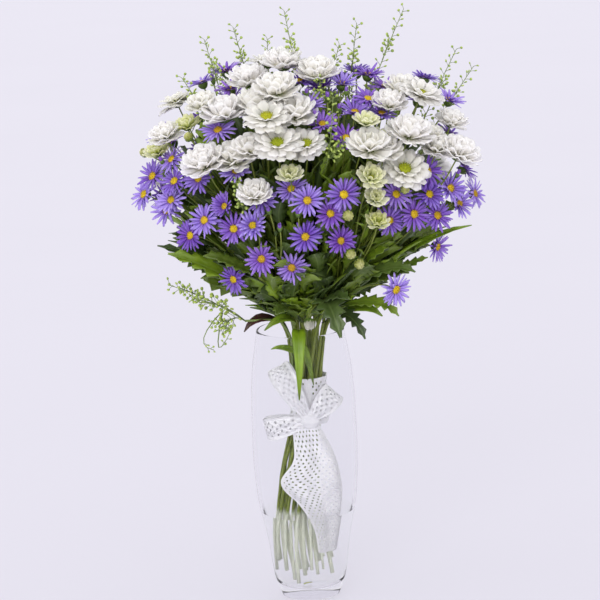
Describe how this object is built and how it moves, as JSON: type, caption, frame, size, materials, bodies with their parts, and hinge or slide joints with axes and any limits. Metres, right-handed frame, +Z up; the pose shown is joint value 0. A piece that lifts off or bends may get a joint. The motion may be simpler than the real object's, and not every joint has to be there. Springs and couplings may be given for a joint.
{
  "type": "mixed bouquet in a glass jar",
  "caption": "Hand-tied bunch of white spray chrysanthemums, purple asters and green penny-cress in a tall clear glass jar with water and a lace ribbon",
  "frame": {"origin": "middle of the jar's flat underside", "axes": "+Z up along the jar's axis; +X to the right and -Y towards the viewer in the pictured view"},
  "size_m": [0.3661, 0.3071, 0.6483],
  "materials": {
    "jar_glass": "clear polished glass",
    "water": "clear still water",
    "ribbon_cloth": "white perforated lace",
    "white_petals": "matte petals, cream to yellow-green towards the middle",
    "stems_leaves_and_asters": "waxy green stems and leaves with violet asters",
    "cress_green": "matte yellow-green stalks and flat pods"
  },
  "bodies": {
    "root": {"cress_back": "cress_green", "cress_far_right": "cress_green", "cress_left": "cress_green", "cress_low_left": "cress_green", "cress_middle": "cress_green", "cress_right": "cress_green", "jar": "jar_glass", "ribbon": "ribbon_cloth", "sprays_back": "stems_leaves_and_asters", "sprays_front_left": "stems_leaves_and_asters", "sprays_front_right": "stems_leaves_and_asters", "sprays_left": "stems_leaves_and_asters", "sprays_right": "stems_leaves_and_asters", "sprays_upper_back": "stems_leaves_and_asters", "sprays_upper_front_left": "stems_leaves_and_asters", "sprays_upper_front_right": "stems_leaves_and_asters", "sprays_upper_left": "stems_leaves_and_asters", "sprays_upper_right": "stems_leaves_and_asters", "water": "water", "white_blooms_1": "white_petals", "white_blooms_10": "white_petals", "white_blooms_11": "white_petals", "white_blooms_12": "white_petals", "white_blooms_13": "white_petals", "white_blooms_14": "white_petals", "white_blooms_15": "white_petals", "white_blooms_16": "white_petals", "white_blooms_17": "white_petals", "white_blooms_18": "white_petals", "white_blooms_19": "white_petals", "white_blooms_2": "white_petals", "white_blooms_20": "white_petals", "white_blooms_21": "white_petals", "white_blooms_22": "white_petals", "white_blooms_23": "white_petals", "white_blooms_24": "white_petals", "white_blooms_25": "white_petals", "white_blooms_26": "white_petals", "white_blooms_27": "white_petals", "white_blooms_28": "white_petals", "white_blooms_29": "white_petals", "white_blooms_3": "white_petals", "white_blooms_30": "white_petals", "white_blooms_31": "white_petals", "white_blooms_32": "white_petals", "white_blooms_33": "white_petals", "white_blooms_34": "white_petals", "white_blooms_35": "white_petals", "white_blooms_36": "white_petals", "white_blooms_37": "white_petals", "white_blooms_38": "white_petals", "white_blooms_39": "white_petals", "white_blooms_4": "white_petals", "white_blooms_40": "white_petals", "white_blooms_5": "white_petals", "white_blooms_6": "white_petals", "white_blooms_7": "white_petals", "white_blooms_8": "white_petals", "white_blooms_9": "white_petals"}
  },
  "joints": []
}
